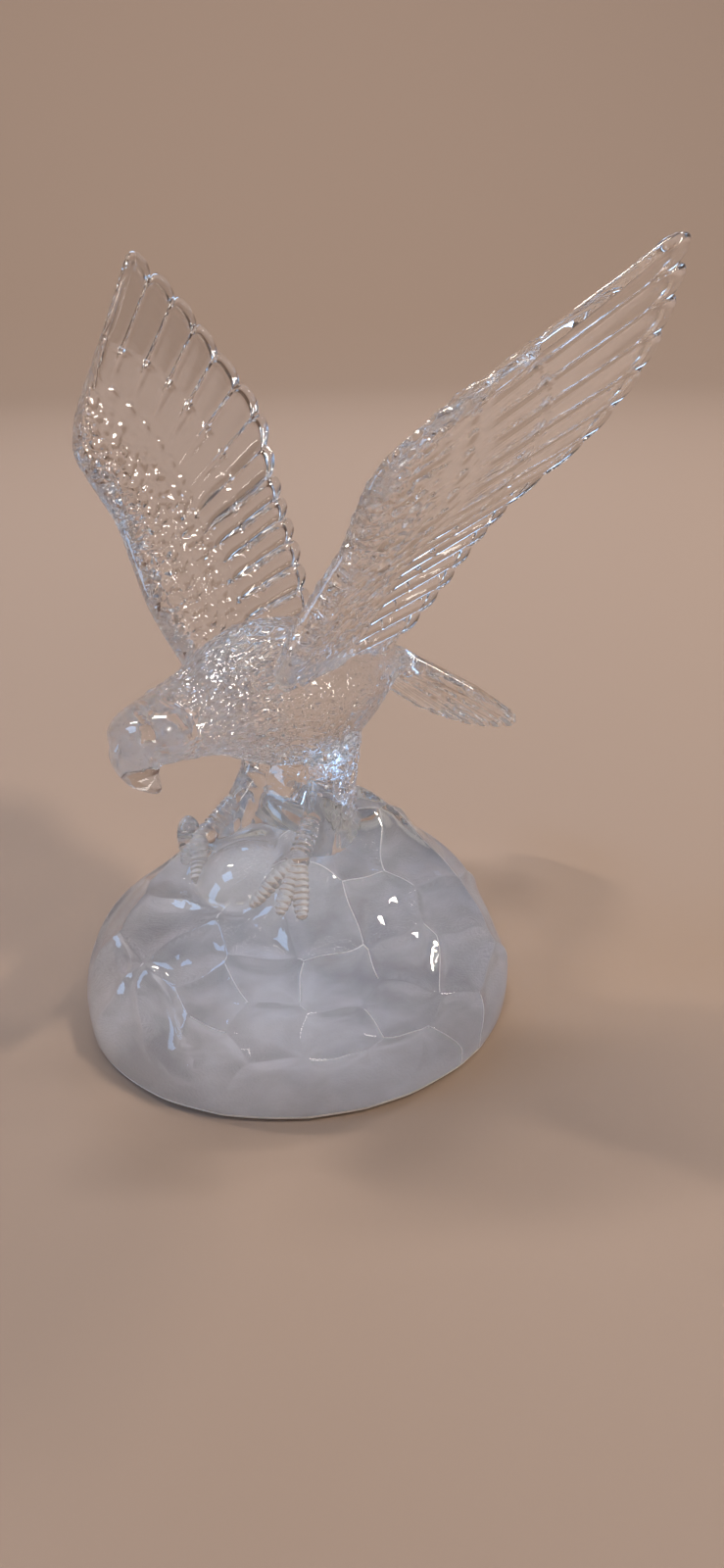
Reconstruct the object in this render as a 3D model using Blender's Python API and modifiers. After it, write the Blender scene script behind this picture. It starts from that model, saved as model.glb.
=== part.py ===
"""Pressed glass eagle landing on a rock: one solid piece of glass that stands on its flat underside.

Metres, +Z up. The origin is the centre of the underside. The bird faces -Y and its left side is +X.
The rock is a knapped dome. The bird's forms are lofts, each a row of closed sections, and they
overlap where the glass is one mass. A Boolean union makes everything one closed solid.
"""

import math

import bmesh
import bpy
import numpy as np
from mathutils import Matrix, Vector

# Rock: its stones and swells are shares of its radius and height
ROCK_RADIUS = 0.0713
ROCK_HEIGHT = 0.058
ROCK_WAIST = 0.007
RIM_BEVEL = 0.0015
FACETS = 44
FACET_DEPTH = 0.0024
FACET_RIDGE = 0.0070

# Bird: its places and sections are shares of the length from its crown to the root of its tail
BODY_LENGTH = 0.119
ANKLE_LIFT = 0.0016
BODY_SEGMENTS = 18
LEG_SEGMENTS = 14

# Wings, seen flat: lengths are shares of the wing's length from shoulder to tip
WING_LENGTH = 0.137
WING_LEAN = 35.8
WING_TOE_OUT = 6.9
WING_FEATHERS = 14
WING_FAN = 0.45
ARM_THICKNESS = 0.0098
HAND_SHARE = 0.55
FEATHER_GROOVE = 0.42
WING_SINK = 0.012

# Tail
TAIL_LENGTH = 0.080
TAIL_DROP = 34.6
TAIL_HALF_WIDTH = 0.0245
TAIL_FEATHERS = 7
TAIL_THICKNESS = 0.0045

# Feet
TOE_RADIUS = 0.0027
TOE_RINGS = 7
TOE_SEGMENTS = 7

GLASS_COLOUR = (0.93, 0.95, 0.97, 1.0)
GLASS_ROUGHNESS = 0.03
GLASS_INDEX = 1.53


def clear_scene():
    for obj in list(bpy.data.objects):
        bpy.data.objects.remove(obj)


def glass_material():
    material = bpy.data.materials.new("clear_glass")
    material.use_nodes = True
    shader = material.node_tree.nodes["Principled BSDF"]
    shader.inputs["Base Color"].default_value = GLASS_COLOUR
    shader.inputs["Roughness"].default_value = GLASS_ROUGHNESS
    shader.inputs["Metallic"].default_value = 0.0
    shader.inputs["IOR"].default_value = GLASS_INDEX
    shader.inputs["Transmission Weight"].default_value = 1.0
    return material


# Curves and lofts


def through(knots, places):
    """Points of a smooth curve through evenly spaced knots, at places from 0 to 1."""
    knots = np.asarray(knots, float)
    last = len(knots) - 1
    at = np.clip(np.asarray(places, float), 0, 1) * last
    start = np.minimum(at.astype(int), last - 1)
    t = (at - start)[:, None]
    padded = np.vstack([2 * knots[0] - knots[1], knots, 2 * knots[-1] - knots[-2]])
    a, b, c, d = (padded[start + k] for k in range(4))
    bend = (2 * a - 5 * b + 4 * c - d) * t**2 + (3 * b - a - 3 * c + d) * t**3
    return b + 0.5 * ((c - a) * t + bend)


def oval(centre, across, along, segments):
    """Points of an ellipse round centre with two half axes, none of them on the middle plane."""
    turn = (np.arange(segments) + 0.5) * 2 * math.pi / segments
    return np.asarray(centre) + np.outer(np.cos(turn), across) + np.outer(np.sin(turn), along)


def loft(name, rings):
    """A closed mesh through rings that hold the same number of points, with a fan at each end."""
    shape = bmesh.new()
    rows = [[shape.verts.new(Vector(point)) for point in ring] for ring in rings]
    count = len(rows[0])
    for near, far in zip(rows, rows[1:]):
        for k in range(count):
            after = (k + 1) % count
            shape.faces.new((near[k], near[after], far[after], far[k]))
    for end in (rows[0], rows[-1]):
        centre = shape.verts.new(sum((v.co for v in end), Vector()) / count)
        for k in range(count):
            shape.faces.new((end[k], end[(k + 1) % count], centre))
    bmesh.ops.recalc_face_normals(shape, faces=shape.faces)
    mesh = bpy.data.meshes.new(name)
    shape.to_mesh(mesh)
    shape.free()
    return bpy.data.objects.new(name, mesh)


def sheet(name, upper, lower):
    """A closed mesh between two grids of points that lie one over the other."""
    shape = bmesh.new()
    top = [[shape.verts.new(Vector(point)) for point in row] for row in upper]
    low = [[shape.verts.new(Vector(point)) for point in row] for row in lower]
    rows, columns = range(len(top) - 1), range(len(top[0]) - 1)
    for i in rows:
        for j in columns:
            for grid in (top, low):
                shape.faces.new((grid[i][j], grid[i + 1][j], grid[i + 1][j + 1], grid[i][j + 1]))
    for i in rows:
        for j in (0, -1):
            shape.faces.new((top[i][j], top[i + 1][j], low[i + 1][j], low[i][j]))
    for j in columns:
        for i in (0, -1):
            shape.faces.new((top[i][j], top[i][j + 1], low[i][j + 1], low[i][j]))
    bmesh.ops.recalc_face_normals(shape, faces=shape.faces)
    mesh = bpy.data.meshes.new(name)
    shape.to_mesh(mesh)
    shape.free()
    return bpy.data.objects.new(name, mesh)


def paired(obj):
    """The piece on both sides of the middle plane."""
    mirror = obj.modifiers.new("both_sides", "MIRROR")
    mirror.use_mirror_merge = False
    return obj


# Rock


def rock_swells():
    """Where the rock stands out of the dome or falls inside it.

    Rows of (x, y, height, spread), the first two and the spread as shares of the rock's radius and
    the height as a share of its height.
    """
    return (
        (0.09, 0.34, 0.17, 0.21),
        (0.00, -0.15, 0.035, 0.28),
        (0.25, -0.24, 0.078, 0.13),
        (-0.27, -0.24, 0.078, 0.13),
        (-0.62, -0.05, -0.14, 0.20),
        (-0.86, -0.60, -0.045, 0.35),
    )


def facet_centres():
    """Places spread over the dome along a spiral and moved a little off it."""
    chance = np.random.default_rng(11)
    order = np.arange(FACETS) + 0.5
    rise = 1 - order / FACETS * 1.05
    turn = order * math.pi * (3 - math.sqrt(5)) + chance.normal(0, 0.22, FACETS)
    flat = np.sqrt(np.clip(1 - rise**2, 0, 1))
    spread = np.stack([flat * np.cos(turn), flat * np.sin(turn), rise], axis=1)
    spread += chance.normal(0, 0.055, spread.shape)
    return spread / np.linalg.norm(spread, axis=1)[:, None]


def rock_surface(round_points, facet_depth):
    """Points of the rock from points of a unit ball: shallow scoops with ridges between them."""
    gaps = np.linalg.norm(round_points[:, None] - facet_centres()[None], axis=2) * ROCK_RADIUS
    gaps.sort(axis=1)
    sunk = facet_depth * (1 - np.exp(-(gaps[:, 1] - gaps[:, 0]) / FACET_RIDGE))
    raised = np.zeros(len(round_points))
    for x, y, height, spread in rock_swells():
        gap = np.hypot(round_points[:, 0] - x, round_points[:, 1] - y)
        raised += height * ROCK_HEIGHT * np.exp(-0.5 * (gap / spread) ** 2)
    fade = np.clip((round_points[:, 2] + 0.05) / 0.25, 0, 1)
    dome = round_points * (ROCK_RADIUS, ROCK_RADIUS, ROCK_HEIGHT - ROCK_WAIST)
    return dome + (0, 0, ROCK_WAIST) + round_points * (raised - sunk * fade)[:, None]


def rock():
    """The dome, its low wall tucked in a little under the waist, its rim eased."""
    shape = bmesh.new()
    bmesh.ops.create_uvsphere(shape, u_segments=48, v_segments=28, radius=1)
    everything = shape.verts[:] + shape.edges[:] + shape.faces[:]
    bmesh.ops.bisect_plane(shape, geom=everything, plane_co=(0, 0, 0), plane_no=(0, 0, 1), clear_inner=True)
    corners = np.array([v.co for v in shape.verts])
    for vertex, place in zip(shape.verts, rock_surface(corners, FACET_DEPTH)):
        vertex.co = place
    rim = [edge for edge in shape.edges if edge.is_boundary]
    tuck = math.sqrt(1 - ((ROCK_WAIST - RIM_BEVEL) / (ROCK_HEIGHT - ROCK_WAIST)) ** 2)
    for height, share in ((RIM_BEVEL, tuck), (0.0, 1 - RIM_BEVEL / ROCK_RADIUS)):
        grown = bmesh.ops.extrude_edge_only(shape, edges=rim)["geom"]
        for vertex in (item for item in grown if isinstance(item, bmesh.types.BMVert)):
            vertex.co = (vertex.co.x * share, vertex.co.y * share, height)
        rim = [item for item in grown if isinstance(item, bmesh.types.BMEdge) and item.is_boundary]
    bmesh.ops.contextual_create(shape, geom=rim)
    bmesh.ops.recalc_face_normals(shape, faces=shape.faces)
    mesh = bpy.data.meshes.new("rock")
    shape.to_mesh(mesh)
    shape.free()
    return bpy.data.objects.new("rock", mesh)


def lump(name, centre, radii, segments):
    """A smooth egg-shaped lump."""
    shape = bmesh.new()
    bmesh.ops.create_uvsphere(shape, u_segments=segments, v_segments=segments // 2, radius=1)
    place = Matrix.LocRotScale(Vector(centre), None, Vector(radii))
    bmesh.ops.transform(shape, matrix=place, verts=shape.verts)
    mesh = bpy.data.meshes.new(name)
    shape.to_mesh(mesh)
    shape.free()
    return bpy.data.objects.new(name, mesh)


def boulder():
    """The rounded stone between the feet."""
    shares = np.array([(0.000, -0.285, 0.780), (0.245, 0.255, 0.273)])
    centre, radii = shares * (ROCK_RADIUS, ROCK_RADIUS, ROCK_HEIGHT)
    return lump("boulder", centre, radii, 16)


def on_rock(x, y):
    """The point of the rock's surface over a place."""
    flat = np.array([x, y]) / ROCK_RADIUS
    above = np.array([[*flat, math.sqrt(max(0.0, 1 - flat.dot(flat)))]])
    return rock_surface(above, FACET_DEPTH)[0]


def knob():
    """The small stone by the right foot, half as high again as it is wide."""
    width = 0.112 * ROCK_RADIUS
    centre = on_rock(-0.300 * ROCK_RADIUS, -0.300 * ROCK_RADIUS) + (0, 0, 0.45 * width)
    return lump("knob", centre, (0.5 * width, 0.5 * width, 0.9 * width), 8)


# Body, head and beak


def ankle(side):
    """Where one foot's toes part, a little over the rock."""
    x, y = np.array([0.151 * side, -0.160]) * BODY_LENGTH
    level = (on_rock(x, y)[2] + on_rock(-x, y)[2]) / 2
    return np.array([x, y, level + ANKLE_LIFT])


def perched(obj):
    """The bird's pieces have their heights from the ankles, and are raised to that level."""
    obj.location.z = ankle(1)[2]
    return obj


def middle_loft(name, table, count, segments):
    """A loft through ovals in the middle plane: (top y, top z, bottom y, bottom z, half width)."""
    rings = []
    rows = through(np.array(table) * BODY_LENGTH, np.linspace(0, 1, count))
    for top_y, top_z, low_y, low_z, half in rows:
        top, low = np.array([0, top_y, top_z]), np.array([0, low_y, low_z])
        rings.append(oval((top + low) / 2, (half, 0, 0), (top - low) / 2, segments))
    return loft(name, rings)


def body():
    """Head, neck and trunk, back to the root of the tail."""
    table = (
        (-0.568, 0.425, -0.560, 0.397, 0.021),
        (-0.553, 0.459, -0.528, 0.370, 0.070),
        (-0.510, 0.484, -0.480, 0.353, 0.099),
        (-0.450, 0.497, -0.422, 0.345, 0.109),
        (-0.376, 0.506, -0.372, 0.336, 0.112),
        (-0.286, 0.526, -0.286, 0.311, 0.126),
        (-0.185, 0.558, -0.185, 0.261, 0.158),
        (-0.067, 0.576, -0.076, 0.206, 0.187),
        (0.059, 0.557, 0.042, 0.176, 0.192),
        (0.189, 0.517, 0.160, 0.189, 0.176),
        (0.328, 0.458, 0.277, 0.224, 0.134),
        (0.445, 0.399, 0.387, 0.267, 0.095),
        (0.529, 0.359, 0.487, 0.286, 0.080),
        (0.604, 0.311, 0.574, 0.256, 0.084),
    )
    return middle_loft("body", table, 20, BODY_SEGMENTS)


def beak():
    """The hooked bill, from inside the face to its tip."""
    table = (
        (-0.504, 0.492, -0.420, 0.374, 0.080),
        (-0.571, 0.445, -0.458, 0.353, 0.070),
        (-0.587, 0.403, -0.471, 0.349, 0.055),
        (-0.576, 0.361, -0.476, 0.340, 0.045),
        (-0.546, 0.319, -0.472, 0.320, 0.035),
        (-0.508, 0.292, -0.467, 0.298, 0.024),
        (-0.481, 0.278, -0.469, 0.281, 0.009),
    )
    return middle_loft("beak", table, 10, 12)


# Wings


def wing_frame():
    """Unit vectors of the left wing: out along it, back across it, and off its inner face."""
    lean, toe = math.radians(WING_LEAN), math.radians(WING_TOE_OUT)
    out = Vector((math.sin(lean), 0, math.cos(lean)))
    back = Vector((math.sin(toe), math.cos(toe), 0))
    back = (back - back.project(out)).normalized()
    return np.array([out, back, out.cross(back)])


def wing_place(places, offset):
    """Points of the left wing from places on it, as shares of its length, and offsets off its middle."""
    shoulder = np.array([0.134, -0.202, 0.5]) * BODY_LENGTH
    out, back, inward = wing_frame()
    return shoulder + WING_LENGTH * places @ np.array([out, back, inward]) + np.outer(offset, inward)


def wing_lines(places):
    """Root and tip of the feather lines at places from 0, the foremost, to 1, at the body.

    Rows of (out, back, inward) as shares of the wing's length. The roots crowd at the wrist.
    """
    roots = (
        (0.600, 0.098, 0.032),
        (0.553, 0.050, 0.030),
        (0.482, 0.002, 0.027),
        (0.405, 0.006, 0.023),
        (0.318, 0.024, 0.015),
        (0.225, 0.010, 0.006),
        (0.118, -0.004, -0.003),
        (-0.020, 0.012, -0.012),
    )
    tips = (
        (1.012, 0.564, 0.047),
        (0.890, 0.667, 0.033),
        (0.730, 0.728, 0.021),
        (0.540, 0.735, 0.032),
        (0.355, 0.620, 0.045),
        (0.240, 0.573, 0.044),
        (0.120, 0.535, 0.032),
        (0.000, 0.480, 0.020),
    )
    return through(roots, np.asarray(places) ** WING_FAN), through(tips, places)


def covert_ends(place):
    """How far down a feather line the middle and the greater coverts reach, as shares of it."""
    middle = 0.36 - 0.12 * math.exp(-place / 0.06) + 0.08 * min(max((place - 0.5) / 0.2, 0), 1)
    return middle, 0.655 - 0.25 * math.exp(-place / 0.12)


def feather_places(feathers, columns=(0.0, 0.16, 0.5, 0.84)):
    """Places across a row of feathers, with how far each is across its own feather."""
    across = np.array([(k, f) for k in range(feathers) for f in columns] + [(feathers - 1, 1.0)])
    return across.sum(axis=1) / feathers, across[:, 1]


def rounding(fraction):
    """How far a rounded end draws back across one feather: none at its middle, all at its sides."""
    return 1 - np.sqrt(np.clip(1 - (2 * fraction - 1) ** 2, 0, 1))


def crown(fraction, groove):
    """Share of the full thickness across one feather, low in the grooves at its sides."""
    return 1 - groove * np.abs(2 * fraction - 1) ** 2.5


def wing():
    """The left wing: a thick scaled arm, a row of coverts and long flight feathers."""
    thick = np.array([0.40, 0.80, 1.0, 0.90, 0.74, 0.66, 0.50, 0.36, 0.16]) * ARM_THICKNESS
    upper, lower = [], []
    for place, fraction in zip(*feather_places(WING_FEATHERS)):
        root, tip = (line[0] for line in wing_lines([place]))
        middle, greater = covert_ends(place)
        share = np.array([0, 0.03, 0.10, middle - 0.02, middle + 0.01, greater - 0.03, greater, 0.93, 1.0])
        along = share * (1 - 0.035 * rounding(fraction) * np.clip((share - 0.1) / 0.4, 0, 1))
        relief = crown(fraction, FEATHER_GROOVE * np.where(share > middle, 1.0, 0.3))
        spine = root + np.outer(along, tip - root)
        ends = np.interp([place**WING_FAN, place], [0.1, 0.6], [HAND_SHARE, 1])
        half = 0.5 * thick * relief * np.interp(share, [0, 1], ends)
        upper.append(wing_place(spine, half))
        lower.append(wing_place(spine, -half))
    sink = np.outer(WING_SINK * (0.35 + 0.65 * share), wing_frame()[0])
    return sheet("wing", [*upper, upper[-1] - sink], [*lower, lower[-1] - sink])


# Tail


def tail():
    """A fan of long feathers, arched across."""
    drop = math.radians(TAIL_DROP)
    along = np.array([0, math.cos(drop), -math.sin(drop)])
    above = np.array([0, math.sin(drop), math.cos(drop)])
    start = np.array([0, 0.462, 0.342]) * BODY_LENGTH
    share = np.array([0, 0.16, 0.45, 0.84, 1.0])
    wide = np.array([0.32, 0.50, 0.86, 1.0, 0.90])
    upper, lower = [], []
    for place, fraction in zip(*feather_places(TAIL_FEATHERS)):
        side = 2 * place - 1
        reach = TAIL_LENGTH * (1.0 - 0.09 * side**2) * (1 - 0.07 * rounding(fraction))
        relief = 1 + (crown(fraction, FEATHER_GROOVE) - 1) * np.clip(3 * share - 0.6, 0, 1)
        edge = 1 - 0.35 * side**2 * np.clip(1 - 2 * share, 0, 1)
        thick = TAIL_THICKNESS * np.interp(share, [0, 0.3, 0.9, 1], [1.7, 1.4, 0.95, 0.35])
        half = 0.5 * thick * relief * edge
        arch = 0.08 * TAIL_HALF_WIDTH * side**2
        middle = start + np.outer(share * reach, along) + np.outer(side * wide * TAIL_HALF_WIDTH, (1, 0, 0))
        upper.append(middle + np.outer(arch + half, above))
        lower.append(middle + np.outer(arch - half, above))
    return sheet("tail", upper, lower)


# Legs and feet


def leg():
    """The left leg in its feather trouser, from inside the belly to inside the rock.

    Rows of (x, y, z, half width, half depth), as shares of the shoulder's height.
    """
    table = (
        (0.092, 0.050, 0.340, 0.076, 0.143),
        (0.101, 0.063, 0.256, 0.067, 0.109),
        (0.105, 0.066, 0.172, 0.059, 0.080),
        (0.118, 0.035, 0.105, 0.052, 0.088),
        (0.130, 0.002, 0.046, 0.046, 0.113),
        (0.140, -0.012, -0.004, 0.040, 0.138),
        (0.142, -0.015, -0.080, 0.036, 0.145),
    )
    rings = []
    for x, y, z, wide, deep in through(np.array(table) * BODY_LENGTH, np.linspace(0, 1, 12)):
        rings.append(oval((x, y, z), (wide, 0, 0), (0, deep, 0), LEG_SEGMENTS))
    return loft("leg", rings)


def web():
    """The glass between the legs: (y, z, half width, half depth), as shares of the shoulder's height."""
    table = (
        (0.067, 0.273, 0.120, 0.101),
        (0.076, 0.172, 0.130, 0.070),
        (0.058, 0.088, 0.145, 0.072),
        (0.030, 0.004, 0.155, 0.082),
        (0.020, -0.097, 0.155, 0.084),
    )
    rings = []
    for y, z, wide, deep in through(np.array(table) * BODY_LENGTH, np.linspace(0, 1, 6)):
        rings.append(oval((0, y, z), (wide, 0, 0), (0, deep, 0), LEG_SEGMENTS))
    return loft("web", rings)


def tube(name, points, radii, segments):
    """A closed round form through points, with a radius at each."""
    rings = []
    points = np.asarray(points, float)
    for point, heading, radius in zip(points, np.gradient(points, axis=0), radii):
        aim = Vector(heading).to_track_quat("Z", "Y").to_matrix()
        rings.append(oval(point, np.array(aim.col[0]) * radius, np.array(aim.col[1]) * radius, segments))
    return loft(name, rings)


def shank():
    """The bare part of the left leg, from inside the trouser to the ankle."""
    top = np.array([0.128, -0.067, 0.063]) * BODY_LENGTH
    low = np.array([0.151, -0.160, 0.000]) * BODY_LENGTH
    points = [top, (top + low) / 2, low]
    return tube("shank", points, [1.15 * TOE_RADIUS] * 3, TOE_SEGMENTS)


def knuckle():
    """The left ankle, where the toes part."""
    return lump("knuckle", ankle(1), [1.35 * TOE_RADIUS] * 3, 8)


def toes():
    """The front toes, from each ankle down over the rock, with tips as shares of its radius."""
    tips = (
        (0.161, -0.484),
        (0.308, -0.477),
        (0.393, -0.435),
        (-0.161, -0.466),
        (-0.288, -0.393),
        (-0.400, -0.280),
    )
    made = []
    for number, tip in enumerate(tips):
        share = np.linspace(0, 1, TOE_RINGS)
        start = ankle(math.copysign(1, tip[0]))
        end = np.array(tip) * ROCK_RADIUS
        start[:2] += 0.05 * (end - start[:2])
        flat = np.outer(1 - share, start[:2]) + np.outer(share, end)
        points = np.array([on_rock(x, y) for x, y in flat])
        points[:, 2] += (start[2] - points[0, 2]) * (1 - share) ** 2 + 0.35 * TOE_RADIUS * share
        made.append(tube(f"toe_{number + 1}", points, TOE_RADIUS * (1 - 0.5 * share**3), TOE_SEGMENTS))
    return made


# The whole piece


def united(name, whole, others):
    """One closed solid: the first piece with all the others joined to it."""
    figure = bpy.data.collections.new(name)
    joined = bpy.data.collections.new("joined_forms")
    for collection in (figure, joined):
        bpy.context.scene.collection.children.link(collection)
    whole.name = name
    figure.objects.link(whole)
    for other in others:
        joined.objects.link(other)
        other.hide_render = True
        other.display_type = "WIRE"
    union = whole.modifiers.new("union", "BOOLEAN")
    union.operation = "UNION"
    union.operand_type = "COLLECTION"
    union.collection = joined
    whole.data.materials.append(glass_material())
    return whole


def main():
    clear_scene()
    bird = [perched(obj) for obj in (web(), body(), beak(), tail())]
    pairs = [perched(paired(obj)) for obj in (leg(), shank(), wing())]
    united("glass_eagle", rock(), [boulder(), knob(), *bird, *pairs, paired(knuckle()), *toes()])


main()
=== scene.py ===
"""Pressed glass eagle landing on a rock: the fine mesh, the glass, the studio and the camera.

Metres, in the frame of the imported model. One closed mesh stands for the one solid. It follows the
same named sizes and adds scales, feathers, toe ridges and the seams between the rock's scoops.
"""

import math

import bmesh
import bpy
import numpy as np
from mathutils import Matrix, Vector


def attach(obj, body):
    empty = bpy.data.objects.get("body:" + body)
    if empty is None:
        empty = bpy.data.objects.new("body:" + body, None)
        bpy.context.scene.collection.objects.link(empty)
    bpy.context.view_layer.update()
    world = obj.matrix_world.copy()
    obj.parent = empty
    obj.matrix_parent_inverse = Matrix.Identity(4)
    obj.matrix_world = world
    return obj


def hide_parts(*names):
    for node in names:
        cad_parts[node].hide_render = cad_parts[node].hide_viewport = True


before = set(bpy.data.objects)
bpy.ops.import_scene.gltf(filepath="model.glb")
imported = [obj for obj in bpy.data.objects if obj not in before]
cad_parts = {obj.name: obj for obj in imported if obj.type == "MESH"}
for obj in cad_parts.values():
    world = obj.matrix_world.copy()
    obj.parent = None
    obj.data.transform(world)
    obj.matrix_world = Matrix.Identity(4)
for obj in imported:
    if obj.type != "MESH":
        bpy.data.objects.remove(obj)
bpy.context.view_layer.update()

# Rock
ROCK_RADIUS = 0.0713
ROCK_HEIGHT = 0.058
ROCK_WAIST = 0.007
RIM_BEVEL = 0.0015
HIDDEN_FACETS = 46
FACET_DEPTH = 0.0021
FACET_RIDGE = 0.0070
RIDGE_ROUND = 0.0011
ROCK_RINGS = 74
ROCK_SEGMENTS = 176
SEAM_WIDTH = 0.0004
BOULDER_GROOVE = 0.0017

# Bird
BODY_LENGTH = 0.119
ANKLE_LIFT = 0.0016
HEAD_END = -0.052
SCALE_LENGTH = 0.0053
BODY_SCALES = 33
BODY_RELIEF = 0.0012

# Wings
WING_LENGTH = 0.137
WING_LEAN = 35.8
WING_TOE_OUT = 6.9
WING_FEATHERS = 14
WING_FAN = 0.45
ARM_THICKNESS = 0.0098
HAND_SHARE = 0.55
WING_SINK = 0.012
ARM_SCALE = 0.0045
ARM_RELIEF = 0.0017
ROOT_RELIEF = 0.0014
COVERT_HEIGHT = 0.0010
SMALL_COVERT_HEIGHT = 0.0006
BEAD_HEIGHT = 0.00038
ROLL_HEIGHT = 0.0008
PRIMARY_TILT = 0.0005
SECONDARY_TILT = 0.0011
ROOT_ROWS = 12

# Where the lines of points lie across one feather
COLUMNS = (0.0, 0.05, 0.14, 0.25, 0.37, 0.5, 0.63, 0.75, 0.86, 0.95)

# Tail
TAIL_LENGTH = 0.080
TAIL_DROP = 34.6
TAIL_HALF_WIDTH = 0.0245
TAIL_FEATHERS = 7
TAIL_THICKNESS = 0.0045
TAIL_TILT = 0.0006

# Legs and feet
LEG_SCALE = 0.0046
LEG_SCALES = 17
LEG_RELIEF = 0.0012
WEB_SCALES = 20
WEB_RELIEF = 0.0010
LEG_WAVE = 0.0005
TOE_RADIUS = 0.0027
TOE_RIDGE = 0.0019
TOE_RELIEF = 0.0005
SHANK_RELIEF = 0.00055

# Points round and along the forms
BODY_RINGS = 156
BODY_SEGMENTS = 160
LEG_RINGS = 64
LEG_SEGMENTS = 72
WEB_RINGS = 44
WEB_SEGMENTS = 64

# Studio
COVE_RADIUS = 3.1
COVE_BEND = 1.1
COVE_HEIGHT = 3.2
COVE_SEGMENTS = 96
COVE_GAP = 0.0004
BEHIND = (-0.570, 0.822, 0)
PALE = (0.27, 0.198, 0.156)
BROWN = (0.16, 0.095, 0.062)
DARK = (0.05, 0.04, 0.035)
LIGHT_BOUNCES = 20

# Glass
GLASS_INDEX = 1.5
GLASS_COLOUR = (0.955, 0.965, 0.985)

# Easing of the creases where forms meet and of the join of beak and head
CUT_CREASE = math.radians(34)
CUT_TURNS = 5
HEAD_CREASE = math.radians(16)
HEAD_TURNS = 24

# How many rows of scales the random draws cover, and the numbers of the materials
DRAWN_ROWS = 97
CLEAR, FROSTED, SEAM, PLUMAGE, MATT_PAINTED_SHEEN, MILKY = range(6)


# Curves and meshes


def through(knots, places):
    """Points of a smooth curve through evenly spaced knots, at places from 0 to 1."""
    knots = np.asarray(knots, float)
    last = len(knots) - 1
    at = np.clip(np.asarray(places, float), 0, 1) * last
    start = np.minimum(at.astype(int), last - 1)
    t = (at - start)[:, None]
    padded = np.vstack([2 * knots[0] - knots[1], knots, 2 * knots[-1] - knots[-2]])
    a, b, c, d = (padded[start + k] for k in range(4))
    bend = (2 * a - 5 * b + 4 * c - d) * t**2 + (3 * b - a - 3 * c + d) * t**3
    return b + 0.5 * ((c - a) * t + bend)


def ramp(low, high, value):
    """0 below low, 1 above high, smooth between."""
    t = np.clip((value - low) / (high - low), 0, 1)
    return t * t * (3 - 2 * t)


def ovals(centres, across, along, segments):
    """A grid of points: one ellipse for each centre, with its two half axes."""
    turn = (np.arange(segments) + 0.5) * 2 * math.pi / segments
    return (
        centres[:, None]
        + across[:, None] * np.cos(turn)[None, :, None]
        + along[:, None] * np.sin(turn)[None, :, None]
    )


def outward(grid):
    """Unit normals of a tube's grid of points."""
    down = np.gradient(grid, axis=0)
    round_ = np.roll(grid, -1, axis=1) - np.roll(grid, 1, axis=1)
    normal = np.cross(down, round_)
    normal /= np.linalg.norm(normal, axis=2)[..., None] + 1e-12
    middle = grid.mean(axis=1)[:, None]
    flip = np.sign((normal * (grid - middle)).sum(axis=2).mean())
    return normal * flip


def places_round(segments):
    """Where each point of a ring lies on its way round, from 0 to 1."""
    return (np.arange(segments)[None] + 0.5) / segments


def mesh_object(name, corners, faces, marked=None, material=PLUMAGE):
    """A mesh whose faces all point out. The marked ones get a material other than clear glass."""
    mesh = bpy.data.meshes.new(name)
    mesh.from_pydata(np.asarray(corners).tolist(), [], faces)
    shape = bmesh.new()
    shape.from_mesh(mesh)
    bmesh.ops.recalc_face_normals(shape, faces=shape.faces)
    if shape.calc_volume(signed=True) < 0:
        bmesh.ops.reverse_faces(shape, faces=shape.faces)
    shape.to_mesh(mesh)
    shape.free()
    if marked is not None:
        numbers = np.full(len(faces), CLEAR, dtype=np.int32)
        numbers[: len(marked)][marked] = material
        mesh.polygons.foreach_set("material_index", numbers)
    return bpy.data.objects.new(name, mesh)


def tube_object(name, grid, marked=None, material=PLUMAGE):
    """A closed mesh through a grid of rings, with a fan at each end."""
    rows, count = grid.shape[:2]
    corners = np.vstack([grid.reshape(-1, 3), grid[0].mean(axis=0), grid[-1].mean(axis=0)])
    faces = []
    for i in range(rows - 1):
        for k in range(count):
            a, b = i * count + k, i * count + (k + 1) % count
            faces.append((a, b, b + count, a + count))
    for k in range(count):
        after = (k + 1) % count
        faces.append((k, after, rows * count))
        faces.append(((rows - 1) * count + k, (rows - 1) * count + after, rows * count + 1))
    marked = None if marked is None else marked[:-1].ravel()
    return mesh_object(name, corners, faces, marked, material)


def sheet_object(name, upper, lower, marked=None, material=PLUMAGE):
    """A closed mesh between two grids of points that lie one over the other."""
    rows, columns = upper.shape[:2]
    corners = np.vstack([upper.reshape(-1, 3), lower.reshape(-1, 3)])
    half = rows * columns
    faces = []
    for i in range(rows - 1):
        for j in range(columns - 1):
            a = i * columns + j
            for start in (a, a + half):
                faces.append((start, start + columns, start + columns + 1, start + 1))
    for i in range(rows - 1):
        for j in (0, columns - 1):
            a = i * columns + j
            faces.append((a, a + columns, a + columns + half, a + half))
    for j in range(columns - 1):
        for i in (0, rows - 1):
            a = i * columns + j
            faces.append((a, a + 1, a + 1 + half, a + half))
    marked = None if marked is None else np.repeat(marked[:-1, :-1].ravel(), 2)
    return mesh_object(name, corners, faces, marked, material)


def mirrored(obj):
    """A copy on the other side of the middle plane."""
    mesh = obj.data.copy()
    mesh.transform(Matrix.Diagonal((-1, 1, 1, 1)))
    mesh.flip_normals()
    return bpy.data.objects.new(obj.name + "_right", mesh)


# Relief


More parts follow.
